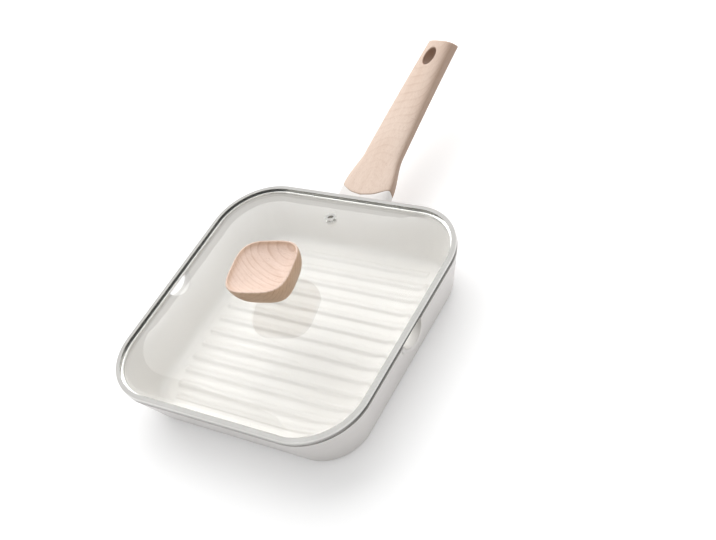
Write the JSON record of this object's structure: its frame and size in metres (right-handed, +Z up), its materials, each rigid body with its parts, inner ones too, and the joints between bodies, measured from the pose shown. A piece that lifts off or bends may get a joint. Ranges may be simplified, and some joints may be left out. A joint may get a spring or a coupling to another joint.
{
  "type": "grill pan",
  "caption": "Square ribbed grill pan with pouring spouts, a wooden handle with a hang hole, and a domed glass lid with a steel rim, a steam vent and a wooden dish-shaped knob.",
  "frame": {"origin": "centre of the base, on the surface that the pan stands on", "axes": "+Z up, +Y from the pan's middle along the handle, +X to the right, towards one of the two pouring spouts"},
  "size_m": [0.284, 0.5112, 0.1108],
  "materials": {
    "pan_coating": "cream ceramic coating on cast aluminium, satin",
    "base_steel": "turned stainless steel",
    "handle_wood": "pale beech, satin",
    "knob_wood": "pale beech, satin",
    "rim_steel": "polished stainless steel",
    "fastener_steel": "bright stainless steel",
    "lid_glass": "clear tempered glass",
    "insert_brass": "bare brass",
    "gasket_silicone": "pale silicone, matt"
  },
  "bodies": {
    "pan": {"pan_body": "pan_coating", "induction_plate": "base_steel", "handle_grip": "handle_wood", "handle_screw": "fastener_steel", "handle_washer": "fastener_steel"},
    "lid": {"lid_glass": "lid_glass", "lid_rim": "rim_steel", "vent_eyelet": "rim_steel", "vent_washer": "rim_steel", "knob": "knob_wood", "knob_insert": "insert_brass", "knob_collar": "fastener_steel", "knob_upper_gasket": "gasket_silicone", "knob_lower_gasket": "gasket_silicone", "knob_washer": "fastener_steel", "knob_screw": "fastener_steel"}
  },
  "joints": [
    {"name": "lid_lift", "type": "slide", "parent": "pan", "child": "lid", "axis": [0, 0, 1], "range_m": [0, 0.12]}
  ]
}
